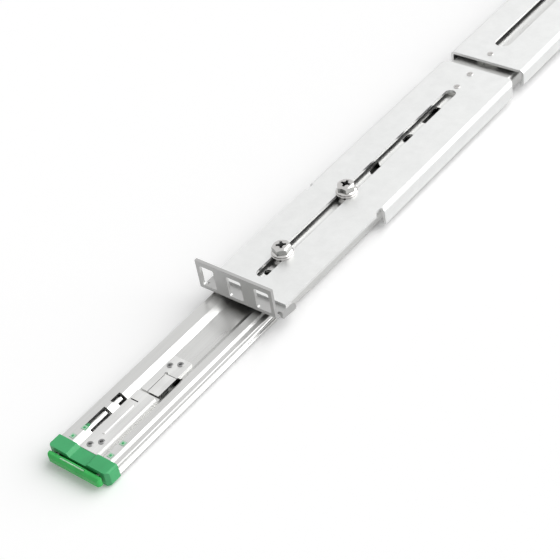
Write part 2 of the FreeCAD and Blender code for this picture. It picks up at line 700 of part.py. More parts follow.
def lock_slit():
    """Slit across the lock plate and the floor under it, as a tool to cut with."""
    span = (LOCK_SLIT - SLIT_WIDTH / 2, LOCK_SLIT + SLIT_WIDTH / 2)
    return slide_box(LOCK_SLIT_U, span, FLOOR_UNDER - 1, FLOOR_TOP + PLATE_SHEET + 1)


def lock_plate():
    start, end = LOCK_PLATE
    left, right = LOCK_PLATE_U
    plate = on_floor([(left, start, 0.5), (right, start, 0.5), (right, end, 0.8), (left, end, 0.5)])
    plate = plate.cut(lock_slit())
    rib = slot_tool(SLIDE_X + LOCK_RIB_U, MIDDLE_START + LOCK_RIB[0], MIDDLE_START + LOCK_RIB[1], LOCK_RIB_WIDTH,
                    FLOOR_TOP, FLOOR_TOP + PLATE_SHEET + LOCK_RIB_HEIGHT)
    return rivet_holes(plate.fuse(rib).removeSplitter(), LOCK_RIVETS)


def latch_plate():
    """Fixed part of the latch spring, riveted behind the leaf."""
    start, end = LATCH_PLATE
    left, right = LATCH_PLATE_U
    plate = on_floor([(left, start, 0.5), (LATCH_SPLIT_U - LATCH_GAP, start, 0), (LATCH_SPLIT_U - LATCH_GAP, LATCH_ROOT, 0),
                      (right, LATCH_ROOT, 0), (right, end, 0.8), (left, end, 0.8)])
    hole = upright_round(SLIDE_X + LATCH_SPLIT_U, MIDDLE_START + LATCH_ROOT, FLOOR_TOP - 1,
                         FLOOR_TOP + PLATE_SHEET + 1, LATCH_HOLE_R)
    return rivet_holes(plate.cut(hole), LATCH_RIVETS)


def latch_leaf():
    """Springing leaf over the window, with the hook that holds the inner member out."""
    start = LATCH_PLATE[0]
    right = LATCH_PLATE_U[1]
    root = LATCH_ROOT - LATCH_GAP
    leaf = on_floor([(LATCH_SPLIT_U, start, 0.5), (right, start, 0.8), (right, root, 0), (LATCH_SPLIT_U, root, 0)])
    hole = upright_round(SLIDE_X + LATCH_SPLIT_U, MIDDLE_START + LATCH_ROOT, FLOOR_TOP - 1,
                         FLOOR_TOP + PLATE_SHEET + 1, LATCH_HOLE_R)
    hook = slide_box(HOOK_U, (start + 0.4, start + 0.4 + HOOK_LENGTH), FLOOR_TOP - HOOK_DROP, FLOOR_TOP + PLATE_SHEET / 2)
    return leaf.cut(hole).fuse(hook).removeSplitter()


# ---- green mouldings ---------------------------------------------------------
def end_cap():
    """Moulded cap over the middle member's end, held by studs in the ledges."""
    top = LEDGE_TOP + CAP_LIFT
    mouth_half = INNER_HALF + CAP_MOUTH_PLAY
    mouth_top = INNER_TOP + CAP_MOUTH_PLAY
    half = [(mouth_half, mouth_top, 0.4), (mouth_half, CAP_BOTTOM, 0), (CAP_HALF, CAP_BOTTOM, CAP_EDGE_R),
            (CAP_HALF, top, CAP_EDGE_R * 1.5), (CAP_RECESS_TOP_HALF, top, 0.3),
            (CAP_RECESS_HALF, mouth_top + CAP_BRIDGE, 0.3)]
    cap = along(mirrored(half, SLIDE_X), CAP_FRONT, MIDDLE_START)
    for side in (-1, 1):
        edge = SLIDE_X + side * CAP_HALF
        triangle = [(edge - side * CAP_CHAMFER, CAP_FRONT, 0), (edge + side, CAP_FRONT - 1, 0),
                    (edge + side, CAP_FRONT + CAP_CHAMFER + 1, 0), (edge, CAP_FRONT + CAP_CHAMFER, 0)]
        cap = cap.cut(prism(triangle, plan(0), V(0, 0, top + 1)))
        arm_u = sorted((side * ARM_U[0], side * ARM_U[1]))
        arm = slide_box(arm_u, (-1, ARM_LENGTH), LEDGE_UNDER - ARM_SHEET, LEDGE_UNDER)
        cap = cap.fuse(arm)
    for u, y in STUDS:
        cap = cap.fuse(stud_box(u, y, 0, LEDGE_UNDER - ARM_SHEET, LEDGE_TOP + STUD_RISE))
    return cap.removeSplitter()


def peg_place():
    return BUMPER_FRONT + BUMPER_LENGTH + TANG_LENGTH / 2


def inner_bumper():
    """Moulded bar across the inner member's front end, with a tang that drops into the channel."""
    back = BUMPER_FRONT + BUMPER_LENGTH
    side = [(back, BUMPER_BOTTOM, 0.4), (back, BUMPER_TOP, 0.5),
            (BUMPER_FRONT + BUMPER_SLOPE, BUMPER_TOP, 0.8), (BUMPER_FRONT, BUMPER_TOP - BUMPER_SLOPE, 0.8),
            (BUMPER_FRONT, BUMPER_BOTTOM, 0.8)]
    bar = prism(side, upright(SLIDE_X - BUMPER_HALF), V(2 * BUMPER_HALF, 0, 0))
    left = SLIDE_X - BUMPER_HALF
    right = SLIDE_X + BUMPER_HALF
    outline = [(left, BUMPER_FRONT, BUMPER_END_R), (right, BUMPER_FRONT, BUMPER_END_R),
               (right, back, 0.5), (left, back, 0.5)]
    bar = bar.common(prism(outline, plan(0), V(0, 0, BUMPER_TOP + 1)))
    groove_y = BUMPER_FRONT + BUMPER_SLOPE
    groove = box((SLIDE_X + BUMPER_GROOVE[0], SLIDE_X + BUMPER_GROOVE[1]), (groove_y, groove_y + BUMPER_GROOVE_WIDTH),
                 (BUMPER_TOP - BUMPER_GROOVE_DEPTH, BUMPER_TOP + 1))
    bar = bar.cut(groove)
    tang = box((SLIDE_X - TANG_HALF, SLIDE_X + TANG_HALF), (back - 0.5, back + TANG_LENGTH),
               (INNER_SHEET, INNER_SHEET + TANG_HEIGHT))
    peg = upright_round(SLIDE_X, peg_place(), 0.1, INNER_SHEET + 0.5, PEG_R)
    return bar.fuse([tang, peg]).removeSplitter()


# ---- stops and catch ---------------------------------------------------------
def outer_stop():
    """Rubber block under the web that the closed slide runs against."""
    start = STOP_START
    return box((SLIDE_X - STOP_HALF, SLIDE_X + STOP_HALF), (start, start + STOP_LENGTH), (FLOOR_UNDER, WEB_UNDER))


def middle_stop():
    """Block under the floor that the inner member runs against."""
    start = INNER_END + STOP_GAP
    return box((SLIDE_X - STOP_HALF / 2, SLIDE_X + STOP_HALF / 2), (start, start + STOP_LENGTH),
               (STOP_FLOOR_PLAY, FLOOR_UNDER))


def catch_front():
    """The catch meets the back of the latch hook when the inner member is fully out."""
    hook_back = MIDDLE_START + LATCH_PLATE[0] + 0.4 + HOOK_LENGTH
    return hook_back + CATCH_GAP + INNER_OUT


def catch_rivets():
    return (catch_front() + CATCH_LENGTH * 0.3, catch_front() + CATCH_LENGTH * 0.75)


def inner_catch():
    front = catch_front()
    catch = box((SLIDE_X + CATCH_U - CATCH_HALF, SLIDE_X + CATCH_U + CATCH_HALF), (front, front + CATCH_LENGTH),
                (INNER_SHEET, INNER_SHEET + CATCH_HEIGHT))
    for y in catch_rivets():
        catch = catch.fuse(upright_round(SLIDE_X + CATCH_U, y, 0.1, INNER_SHEET + 1, PLATE_RIVET_R))
    return catch.removeSplitter()


# ---- assembly ----------------------------------------------------------------
def build_nodes():
    rear_top = PLATE_TOP + REAR_CHANNEL_LIFT
    front_screws = screw_places(SCREW_Y)
    rear_screws = screw_places(REAR_SCREW_Y)
    return {
        "outer_member": outer_member(),
        "outer_stop": outer_stop(),
        "front_clinch_nuts": clinch_nuts(front_screws, PLATE_TOP - CHANNEL_SHEET),
        "front_washers": washers(front_screws, PLATE_TOP),
        "front_clamp_screws": clamp_screws(front_screws, PLATE_TOP),
        "rear_clinch_nuts": clinch_nuts(rear_screws, rear_top - CHANNEL_SHEET),
        "rear_washers": washers(rear_screws, rear_top),
        "rear_clamp_screws": clamp_screws(rear_screws, rear_top),
        "front_flange": front_flange(),
        "front_channel": front_channel(),
        "front_guide_rivets": guide_rivets(FRONT_GUIDE_Y, PLATE_TOP),
        "front_glides": glide(FRONT_GUIDE_Y, PLATE_TOP),
        "rear_flange": rear_flange(),
        "rear_channel": rear_channel(),
        "rear_guide_rivets": guide_rivets(REAR_GUIDE_Y, rear_top),
        "rear_glides": glide(REAR_GUIDE_Y, rear_top),
        "outer_retainer_left": retainer(-1, OUTER_BALL_U, OUTER_STRIP_START),
        "outer_retainer_right": retainer(1, OUTER_BALL_U, OUTER_STRIP_START),
        "outer_balls_left": balls(-1, OUTER_BALL_U, OUTER_STRIP_START),
        "outer_balls_right": balls(1, OUTER_BALL_U, OUTER_STRIP_START),
        "middle_member": middle_member(),
        "middle_stop": middle_stop(),
        "end_cap": end_cap(),
        "lock_plate": lock_plate(),
        "lock_plate_rivets": plate_rivets(LOCK_RIVETS),
        "latch_plate": latch_plate(),
        "latch_plate_rivets": plate_rivets(LATCH_RIVETS),
        "latch_leaf": latch_leaf(),
        "inner_retainer_left": retainer(-1, INNER_BALL_U, INNER_STRIP_START),
        "inner_retainer_right": retainer(1, INNER_BALL_U, INNER_STRIP_START),
        "inner_balls_left": balls(-1, INNER_BALL_U, INNER_STRIP_START),
        "inner_balls_right": balls(1, INNER_BALL_U, INNER_STRIP_START),
        "inner_member": inner_member(),
        "inner_bumper": inner_bumper(),
        "inner_catch": inner_catch(),
    }


def main():
    nodes = build_nodes()
    whole = FreeCAD.BoundBox()
    for shape in nodes.values():
        whole.add(shape.BoundBox)
    origin = V(-whole.Center.x, -whole.Center.y, -whole.ZMin)
    print("origin shift", origin)
    os.makedirs("parts", exist_ok=True)
    for name, shape in nodes.items():
        shape.translate(origin)
        shape.exportStep(os.path.join("parts", name + ".step"))


main()
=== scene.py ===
"""Finishes a telescopic rack rail: its steels, mouldings, screws, rivets and balls."""
import math

import bmesh
import bpy
from bpy.props import FloatProperty, FloatVectorProperty, IntProperty, PointerProperty
from mathutils import Matrix, Vector


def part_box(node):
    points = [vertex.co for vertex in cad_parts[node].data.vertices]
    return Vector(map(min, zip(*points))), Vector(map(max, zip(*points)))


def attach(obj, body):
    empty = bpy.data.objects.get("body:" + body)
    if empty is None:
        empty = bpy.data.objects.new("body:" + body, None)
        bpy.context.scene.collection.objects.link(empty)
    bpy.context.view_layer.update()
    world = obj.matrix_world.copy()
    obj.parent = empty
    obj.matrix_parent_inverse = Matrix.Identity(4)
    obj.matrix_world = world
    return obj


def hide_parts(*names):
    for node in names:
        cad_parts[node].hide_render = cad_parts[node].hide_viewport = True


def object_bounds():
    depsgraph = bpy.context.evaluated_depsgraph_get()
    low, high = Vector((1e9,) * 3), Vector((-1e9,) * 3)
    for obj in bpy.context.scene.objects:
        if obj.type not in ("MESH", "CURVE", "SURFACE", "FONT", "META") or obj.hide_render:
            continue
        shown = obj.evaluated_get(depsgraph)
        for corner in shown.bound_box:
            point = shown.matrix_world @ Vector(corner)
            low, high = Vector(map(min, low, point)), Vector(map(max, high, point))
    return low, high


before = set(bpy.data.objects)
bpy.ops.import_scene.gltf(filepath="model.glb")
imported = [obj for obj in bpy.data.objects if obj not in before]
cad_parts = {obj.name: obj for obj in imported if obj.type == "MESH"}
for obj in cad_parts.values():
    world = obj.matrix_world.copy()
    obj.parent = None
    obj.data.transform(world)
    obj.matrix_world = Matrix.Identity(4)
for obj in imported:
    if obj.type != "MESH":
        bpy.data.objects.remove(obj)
CAD_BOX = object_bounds()

bl_info = {
    "name": "Telescopic Rack Rail",
    "version": (1, 0, 0),
    "blender": (4, 5, 0),
    "location": "View3D > Sidebar > Rack Rail",
    "description": "Builds the finishes, fasteners and mouldings of a telescopic rack rail",
    "category": "Object",
}

MM = 0.001
WELD = 1e-7
CAD_WELD = 1e-6
LEVEL = math.radians(0.5)
NOISE_SPAN = (0.3, 0.7)


# ---- sizes and colours -------------------------------------------------------
def colour(name, description, default):
    return FloatVectorProperty(name=name, description=description, default=default, size=3,
                               subtype="COLOR", min=0.0, max=1.0)


def length(name, description, millimetres):
    return FloatProperty(name=name, description=description, default=millimetres * MM, min=0.0,
                         subtype="DISTANCE", unit="LENGTH", precision=5)


def share(name, description, default):
    return FloatProperty(name=name, description=description, default=default, min=0.0, max=1.0,
                         subtype="FACTOR")


class RailSteel(bpy.types.PropertyGroup):
    """Colours and finish of the sheet metal."""
    zinc: colour("Zinc plate", "Colour of the slotted brackets and flanges", (0.735, 0.74, 0.735))
    # Painted shade: the flanges get a darker copy of the zinc plate to stand for the shade on
    # their faces.
    flange: colour("Flange", "Colour of the rack flanges", (0.44, 0.44, 0.435))
    sheet_edge: length("Sheet edge", "Rounding left by the press on the edges of a sheet", 0.15)
    drawn_edge: length("Drawn edge", "Rounding on the edges of the slide and its springs", 0.08)
    drawn: colour("Drawn steel", "Colour of the slide members", (0.63, 0.63, 0.62))
    spring: colour("Spring steel", "Colour of the lock and latch plates", (0.71, 0.71, 0.70))
    strip: colour("Strip steel", "Colour of the strips that hold the balls", (0.70, 0.70, 0.69))
    zinc_roughness: share("Zinc roughness", "How dull the brackets are", 0.42)
    drawn_roughness: share("Drawn roughness", "How dull the slide members are", 0.30)
    spring_roughness: share("Spring roughness", "How dull the latch plates are", 0.36)
    strip_roughness: share("Strip roughness", "How dull the ball strips are", 0.35)
    grain: length("Grain", "Width of the drawing marks along the slide", 0.5)
    spangle: length("Spangle", "Size of the mottling in the zinc", 5.0)


class RailMouldings(bpy.types.PropertyGroup):
    """Sizes and colours of the mouldings."""
    cap: colour("Cap", "Colour of the end cap", (0.052, 0.400, 0.146))
    stud: colour("Stud", "Colour of the stud tops in the ledges", (0.42, 0.66, 0.48))
    # Painted highlight: the bead is paler than the bar, partly to stand for the highlight along
    # its crown.
    bead: colour("Bead", "Colour of the pale bead along the bar", (0.40, 0.72, 0.45))
    bead_left: length("Bead left", "How far the bead reaches to the left", 7.9)
    bead_right: length("Bead right", "How far the bead reaches to the right", 5.9)
    bead_inset: length("Bead inset", "From the bar's front to the middle of the bead", 1.65)
    bead_width: length("Bead width", "Width of the bead", 0.7)
    bar: colour("Bar", "Colour of the pull bar", (0.042, 0.515, 0.107))
    roughness: share("Roughness", "How dull the mouldings are", 0.38)
    edge: length("Edge radius", "Rounding of the moulded edges", 0.45)
    glide: colour("Glide", "Colour of the glides in the channels", (0.80, 0.80, 0.77))
    glide_roughness: share("Glide roughness", "How dull the glides are", 0.5)


class RailFasteners(bpy.types.PropertyGroup):
    """Sizes and colours of the screws, rivets and balls."""
    chrome: colour("Chrome", "Colour of the screws and their washers", (0.56, 0.55, 0.54))
    rivet: colour("Rivet", "Colour of the rivets", (0.30, 0.30, 0.30))
    # Painted shade: the cross recess gets this dark colour to stand for the shade down in it.
    recess: colour("Recess", "Colour down in the cross recess", (0.07, 0.07, 0.07))
    # Painted shade: the hexagon's side flats are darker than the rest of the screw to stand for
    # the shade on them.
    flats: colour("Flats", "Colour of the hexagon's flats", (0.36, 0.36, 0.35))
    ball: colour("Ball", "Colour of the balls", (0.80, 0.80, 0.80))
    chrome_roughness: share("Chrome roughness", "How dull the screws are", 0.16)
    rivet_roughness: share("Rivet roughness", "How dull the plates' rivets are", 0.25)
    guide_roughness: share("Guide roughness", "How dull the glides' rivets are", 0.2)
    recess_roughness: share("Recess roughness", "How dull the cross recess is", 0.45)
    flats_roughness: share("Flats roughness", "How dull the hexagon's flats are", 0.22)
    ball_roughness: share("Ball roughness", "How dull the balls are", 0.08)
    hexagon: length("Hexagon", "Distance across the flats of a screw head", 8.0)
    cross: length("Cross recess", "Width over the cross recess", 5.0)
    balls: IntProperty(name="Balls", description="Balls in each strip", default=4, min=1)
    seed: IntProperty(name="Seed", description="Sets how the screws are turned", default=4, min=0)


class RailStage(bpy.types.PropertyGroup):
    """Floor, light and camera."""
    floor: colour("Floor", "Colour of the floor", (0.96, 0.96, 0.96))
    lift: share("Lift", "Light that the floor adds to reach white", 0.13)
    ambient: FloatProperty(name="Ambient", description="Strength of the light from all round",
                           default=0.36, min=0.0)
    key: FloatProperty(name="Key", description="Strength of the main soft light", default=2.8,
                       min=0.0)
    key_spread: FloatProperty(name="Key spread", description="How wide and soft the main light is",
                              default=math.radians(80), min=0.0, subtype="ANGLE", unit="ROTATION")
    focal: FloatProperty(name="Focal length", description="Focal length on a 36 mm sensor",
                         default=98.86, min=1.0)


# ---- small helpers -----------------------------------------------------------
def box_of(*nodes):
    """Lowest and highest corners round several nodes."""
    corners = [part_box(node) for node in nodes]
    low = Vector([min(pair[0][axis] for pair in corners) for axis in range(3)])
    high = Vector([max(pair[1][axis] for pair in corners) for axis in range(3)])
    return low, high


def add_object(name, mesh, material):
    piece = bpy.data.objects.new(name, mesh)
    bpy.context.scene.collection.objects.link(piece)
    mesh.materials.clear()
    mesh.materials.append(material)
    return piece


def mesh_from(name, work):
    """Mesh from a bmesh, with its faces pointing outwards."""
    bmesh.ops.remove_doubles(work, verts=work.verts, dist=WELD)
    bmesh.ops.recalc_face_normals(work, faces=work.faces)
    mesh = bpy.data.meshes.new(name)
    work.to_mesh(mesh)
    work.free()
    return mesh


def turned(profile, sides):
    """Solid of revolution round +Z from (radius, height) points, as a bmesh."""
    work = bmesh.new()
    rings = []
    for radius, height in profile:
        if radius < WELD:
            rings.append([work.verts.new((0, 0, height))])
            continue
        ring = []
        for step in range(sides):
            turn = 2 * math.pi * step / sides
            point = (radius * math.cos(turn), radius * math.sin(turn), height)
            ring.append(work.verts.new(point))
        rings.append(ring)
    for lower, upper in zip(rings, rings[1:]):
        for step in range(sides):
            after = (step + 1) % sides
            if len(lower) == 1:
                work.faces.new((lower[0], upper[after], upper[step]))
            elif len(upper) == 1:
                work.faces.new((lower[step], lower[after], upper[0]))
            else:
                work.faces.new((lower[step], lower[after], upper[after], upper[step]))
    return work


def shade_by_angle(mesh, degrees=35):
    """Smooth faces that break at edges sharper than an angle."""
    mesh.shade_smooth()
    sharp = math.radians(degrees)
    work = bmesh.new()
    work.from_mesh(mesh)
    for edge in work.edges:
        edge.smooth = len(edge.link_faces) == 2 and edge.calc_face_angle(0.0) < sharp
    work.to_mesh(mesh)
    work.free()


def beveled(piece, width, segments=3, degrees=30):
    """Rounds a piece's sharp edges in its own mesh, and leaves its flats flat."""
    bevel = piece.modifiers.new("Rounded edges", "BEVEL")
    bevel.width = width
    bevel.segments = segments
    bevel.limit_method = "ANGLE"
    bevel.angle_limit = math.radians(degrees)
    apply_modifiers(piece)
    shade_by_angle(piece.data)
    flat = piece.modifiers.new("Flat faces", "WEIGHTED_NORMAL")
    flat.mode = "FACE_AREA"
    flat.weight = 100
    flat.keep_sharp = True
    apply_modifiers(piece)


def apply_modifiers(piece):
    """Turns what a piece's modifiers make into its own plain mesh."""
    materials = list(piece.data.materials)
    graph = bpy.context.evaluated_depsgraph_get()
    mesh = bpy.data.meshes.new_from_object(piece.evaluated_get(graph))
    piece.modifiers.clear()
    piece.data = mesh
    mesh.name = piece.name
    mesh.materials.clear()
    for material in materials:
        mesh.materials.append(material)


def carve(piece, cutters, operation="DIFFERENCE"):
    """Cuts or joins other pieces into one, and removes them."""
    for cutter in cutters:
        boolean = piece.modifiers.new("Carve", "BOOLEAN")
        boolean.operation = operation
        boolean.solver = "EXACT"
        boolean.object = cutter
        apply_modifiers(piece)
        bpy.data.objects.remove(cutter)


def extruded(name, outline, place, push, material):
    """Piece from a closed outline, put in place and pushed along a vector."""
    work = bmesh.new()
    near = [work.verts.new(place(a, b)) for a, b in outline]
    far = [work.verts.new(place(a, b) + push) for a, b in outline]
    work.faces.new(near)
    work.faces.new(list(reversed(far)))
    count = len(outline)
    for step in range(count):
        after = (step + 1) % count
        work.faces.new((near[after], near[step], far[step], far[after]))
    return add_object(name, mesh_from(name, work), material)


# ---- materials ---------------------------------------------------------------
class Shader:
    """A material whose nodes are added one at a time."""

    def __init__(self, name):
        self.material = bpy.data.materials.get(name)
        self.fresh = self.material is None
        if not self.fresh:
            return
        self.material = bpy.data.materials.new(name)
        self.material.use_nodes = True
        self.tree = self.material.node_tree
        self.main = self.tree.nodes["Principled BSDF"]

    def add(self, kind, **values):
        node = self.tree.nodes.new(kind)
        for key, value in values.items():
            if key in node.inputs:
                node.inputs[key].default_value = value
            else:
                setattr(node, key, value)
        return node

    def link(self, output, entry):
        self.tree.links.new(output, entry)

    def place(self, stretch):
        """Object coordinates, stretched per axis."""
        coordinates = self.add("ShaderNodeTexCoord")
        mapping = self.add("ShaderNodeMapping", Scale=stretch)
        self.link(coordinates.outputs["Object"], mapping.inputs["Vector"])
        return mapping.outputs["Vector"]

    def noise(self, place, detail=4.0, roughness=0.6):
        node = self.add("ShaderNodeTexNoise", Scale=1.0, Detail=detail, Roughness=roughness)
        self.link(place, node.inputs["Vector"])
        return node.outputs["Fac"]

    def spread(self, value, low, high):
        """Turns noise into a span of values."""
        node = self.add("ShaderNodeMapRange")
        node.inputs["From Min"].default_value = NOISE_SPAN[0]
        node.inputs["From Max"].default_value = NOISE_SPAN[1]
        node.inputs["To Min"].default_value = low
        node.inputs["To Max"].default_value = high
        self.link(value, node.inputs["Value"])
        return node.outputs["Result"]

    def tint(self, value, dark, light):
        """Colour between two shades of one tone."""
        node = self.add("ShaderNodeMix", data_type="RGBA")
        colours = [socket for socket in node.inputs if socket.type == "RGBA"]
        colours[0].default_value = dark
        colours[1].default_value = light
        self.link(value, node.inputs["Factor"])
        return [socket for socket in node.outputs if socket.type == "RGBA"][0]

    def bump(self, value, distance, strength):
        node = self.add("ShaderNodeBump", Distance=distance, Strength=strength)
        self.link(value, node.inputs["Height"])
        self.link(node.outputs["Normal"], self.main.inputs["Normal"])


def toned(base, factor):
    """A colour made darker or lighter, with its alpha."""
    return tuple(min(1.0, part * factor) for part in base) + (1.0,)


def zinc_plate(name, base, roughness, spangle):
    """Plated sheet: soft mottling, fine grain and a dull gloss."""
    look = Shader(name)
    if look.fresh:
        scale = 1 / spangle
        mottle = look.noise(look.place((scale, scale, scale)), 5.0)
        fine = look.noise(look.place((scale * 9, scale * 9, scale * 9)), 3.0)
        look.link(look.tint(look.spread(mottle, 0, 1), toned(base, 0.96), toned(base, 1.02)),
                  look.main.inputs["Base Color"])
        look.link(look.spread(fine, roughness - 0.06, roughness + 0.06),
                  look.main.inputs["Roughness"])
        look.main.inputs["Metallic"].default_value = 1.0
        look.bump(fine, 0.03 * MM, 0.25)
    return look.material


def drawn_steel(name, base, roughness, grain):
    """Drawn strip: fine lines along the rail in its gloss and colour."""
    look = Shader(name)
    if look.fresh:
        scale = 1 / grain
        lines = look.noise(look.place((scale, scale / 90, scale)), 4.0)
        cloud = look.noise(look.place((scale / 20, scale / 80, scale / 20)), 2.0)
        look.link(look.tint(look.spread(lines, 0, 1), toned(base, 0.93), toned(base, 1.03)),
                  look.main.inputs["Base Color"])
        look.link(look.spread(cloud, roughness - 0.07, roughness + 0.07),
                  look.main.inputs["Roughness"])
        look.main.inputs["Metallic"].default_value = 1.0
        look.main.inputs["Anisotropic"].default_value = 0.5
        look.bump(lines, 0.01 * MM, 0.15)
    return look.material


def polished_steel(name, base, roughness):
    """Turned and plated small parts."""
    look = Shader(name)
    if look.fresh:
        smudge = look.noise(look.place((900, 900, 900)), 3.0)
        look.link(look.tint(look.spread(smudge, 0, 1), toned(base, 0.94), toned(base, 1.03)),
                  look.main.inputs["Base Color"])
        look.link(look.spread(smudge, max(0.02, roughness - 0.05), roughness + 0.05),
                  look.main.inputs["Roughness"])
        look.main.inputs["Metallic"].default_value = 1.0
    return look.material


def moulded_plastic(name, base, roughness):
    """Moulded plastic: a fine spark-eroded texture and slight flow marks."""
    look = Shader(name)
    if look.fresh:
        grain = look.noise(look.place((5200, 5200, 5200)), 2.0)
        flow = look.noise(look.place((160, 90, 160)), 3.0)
        look.link(look.tint(look.spread(flow, 0, 1), toned(base, 0.90), toned(base, 1.08)),
                  look.main.inputs["Base Color"])
        look.link(look.spread(grain, roughness - 0.05, roughness + 0.08),
                  look.main.inputs["Roughness"])
        look.main.inputs["Specular IOR Level"].default_value = 0.45
        look.bump(grain, 0.02 * MM, 0.35)
    return look.material


def rubber(name):
    """Black rubber with a dull grain."""
    look = Shader(name)
    if look.fresh:
        grain = look.noise(look.place((3000, 3000, 3000)), 3.0)
        dark, light = (0.035, 0.035, 0.035, 1), (0.06, 0.06, 0.06, 1)
        look.link(look.tint(look.spread(grain, 0, 1), dark, light),
                  look.main.inputs["Base Color"])
        look.main.inputs["Roughness"].default_value = 0.75
        look.bump(grain, 0.03 * MM, 0.4)
    return look.material


def finish_node(node, material):
    """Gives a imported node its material."""
    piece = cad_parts[node]
    piece.data.materials.clear()
    piece.data.materials.append(material)


def softened(name, node, width, material, body, segments=2):
    """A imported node's shape with its sharp edges rounded."""
    work = bmesh.new()
    work.from_mesh(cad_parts[node].data)
    bmesh.ops.remove_doubles(work, verts=work.verts, dist=CAD_WELD)
    bmesh.ops.dissolve_limit(work, angle_limit=LEVEL, verts=work.verts, edges=work.edges)
    mesh = bpy.data.meshes.new(name)
    work.to_mesh(mesh)
    work.free()
    piece = add_object(name, mesh, material)
    beveled(piece, width, segments)
    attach(piece, body)
    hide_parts(node)
    return piece


# ---- repeats -----------------------------------------------------------------
class RepeatTree:
    """Geometry Nodes that set one shape out in an even row, or in several."""

    NAME = "Rail row"
    ENTRIES = (("Geometry", "Geometry"), ("Shape", "Object"), ("First", "Vector"),
               ("Step", "Vector"), ("Count", "Int"), ("Most turn", "Float"), ("Seed", "Int"),
               ("Material", "Material"))

    def __init__(self):
        self.tree = bpy.data.node_groups.get(self.NAME) or self.build()

    def build(self):
        tree = bpy.data.node_groups.new(self.NAME, "GeometryNodeTree")
        for name, kind in self.ENTRIES:
            tree.interface.new_socket(name, in_out="INPUT", socket_type="NodeSocket" + kind)
        tree.interface.new_socket("Geometry", in_out="OUTPUT", socket_type="NodeSocketGeometry")
        nodes = tree.nodes
        link = tree.links.new
        entry = nodes.new("NodeGroupInput")
        leave = nodes.new("NodeGroupOutput")
        row = nodes.new("GeometryNodeMeshLine")
        row.mode = "OFFSET"
        link(entry.outputs["Count"], row.inputs["Count"])
        link(entry.outputs["First"], row.inputs["Start Location"])
        link(entry.outputs["Step"], row.inputs["Offset"])
        shape = nodes.new("GeometryNodeObjectInfo")
        link(entry.outputs["Shape"], shape.inputs["Object"])
        turn = nodes.new("FunctionNodeRandomValue")
        turn.data_type = "FLOAT"
        floats = [socket for socket in turn.inputs if socket.type == "VALUE"]
        floats[0].default_value = 0.0
        link(entry.outputs["Most turn"], floats[1])
        link(entry.outputs["Seed"], turn.inputs["Seed"])
        upright = nodes.new("ShaderNodeCombineXYZ")
        turned_by = [socket for socket in turn.outputs if socket.type == "VALUE"][0]
        link(turned_by, upright.inputs["Z"])
        places = nodes.new("GeometryNodeInstanceOnPoints")
        link(row.outputs["Mesh"], places.inputs["Points"])
        link(shape.outputs["Geometry"], places.inputs["Instance"])
        link(upright.outputs["Vector"], places.inputs["Rotation"])
        real = nodes.new("GeometryNodeRealizeInstances")
        link(places.outputs["Instances"], real.inputs["Geometry"])
        paint = nodes.new("GeometryNodeSetMaterial")
        link(real.outputs["Geometry"], paint.inputs["Geometry"])
        link(entry.outputs["Material"], paint.inputs["Material"])
        link(paint.outputs["Geometry"], leave.inputs["Geometry"])
        return tree

    def rows(self, name, shape, rows, material, most_turn=0.0, seed=0):
        """One plain mesh with the shape in each row of (first, step, count)."""
        meshes = []
        for number, (first, step, count) in enumerate(rows):
            holder = bpy.data.objects.new(name, bpy.data.meshes.new(name))
            bpy.context.scene.collection.objects.link(holder)
            modifier = holder.modifiers.new("Row", "NODES")
            modifier.node_group = self.tree
            values = {"Shape": shape, "First": tuple(first), "Step": tuple(step), "Count": count,
                      "Most turn": most_turn, "Seed": seed + number, "Material": material}
            for socket in self.tree.interface.items_tree:
                if socket.in_out == "INPUT" and socket.name in values:
                    modifier[socket.identifier] = values[socket.name]
            graph = bpy.context.evaluated_depsgraph_get()
            meshes.append(bpy.data.meshes.new_from_object(holder.evaluated_get(graph)))
            holder.modifiers.clear()
            bpy.data.objects.remove(holder)
        work = bmesh.new()
        for mesh in meshes:
            work.from_mesh(mesh)
        joined = bpy.data.meshes.new(name)
        work.to_mesh(joined)
        work.free()
        piece = add_object(name, joined, material)
        shade_by_angle(joined)
        return piece


def repeated(name, shape, rows, material, most_turn=0.0, seed=0):
    """The shape in its rows as one piece; the single shape goes."""
    piece = RepeatTree().rows(name, shape, rows, material, most_turn, seed)
    bpy.data.objects.remove(shape)
    return piece


# ---- operators ---------------------------------------------------------------
class RAIL_OT_brackets(bpy.types.Operator):
    """Finish the slotted brackets and their flanges"""
    bl_idname = "rail.brackets"
    bl_label = "Brackets"

    def execute(self, context):
        steel = context.scene.rail_steel
        plate = zinc_plate("zinc plate", steel.zinc, steel.zinc_roughness, steel.spangle)
        # Painted shade: a darker copy of the zinc plate for the flanges.
        flange = zinc_plate("flange zinc", steel.flange, steel.zinc_roughness, steel.spangle)
        for end in ("front", "rear"):
            softened(end + "_slotted_channel", end + "_channel", steel.sheet_edge, plate,
                     end + "_bracket")
            softened(end + "_rack_flange", end + "_flange", steel.sheet_edge, flange,
                     end + "_bracket")
        mouldings = context.scene.rail_mouldings
        pads = moulded_plastic("pale glide", mouldings.glide, mouldings.glide_roughness)
        for node in ("front_glides", "rear_glides"):
            finish_node(node, pads)
        return {"FINISHED"}


class RAIL_OT_slide(bpy.types.Operator):
    """Finish the slide members, their strips, stops and catch"""
    bl_idname = "rail.slide"
    bl_label = "Slide"

    def execute(self, context):
        steel = context.scene.rail_steel
        drawn = drawn_steel("drawn steel", steel.drawn, steel.drawn_roughness, steel.grain)
        strip = drawn_steel("strip steel", steel.strip, steel.strip_roughness, steel.grain)
        finish_node("inner_catch", drawn)
        for node, body in (("outer_member", "root"), ("middle_member", "middle_slide_body"),
                           ("inner_member", "inner_slide_body")):
            softened(node.replace("member", "channel"), node, steel.drawn_edge, drawn, body)
        for node in ("outer_retainer_left", "outer_retainer_right",
                     "inner_retainer_left", "inner_retainer_right"):
            finish_node(node, strip)
        for node in ("outer_stop", "middle_stop"):
            finish_node(node, rubber("black rubber"))
        return {"FINISHED"}


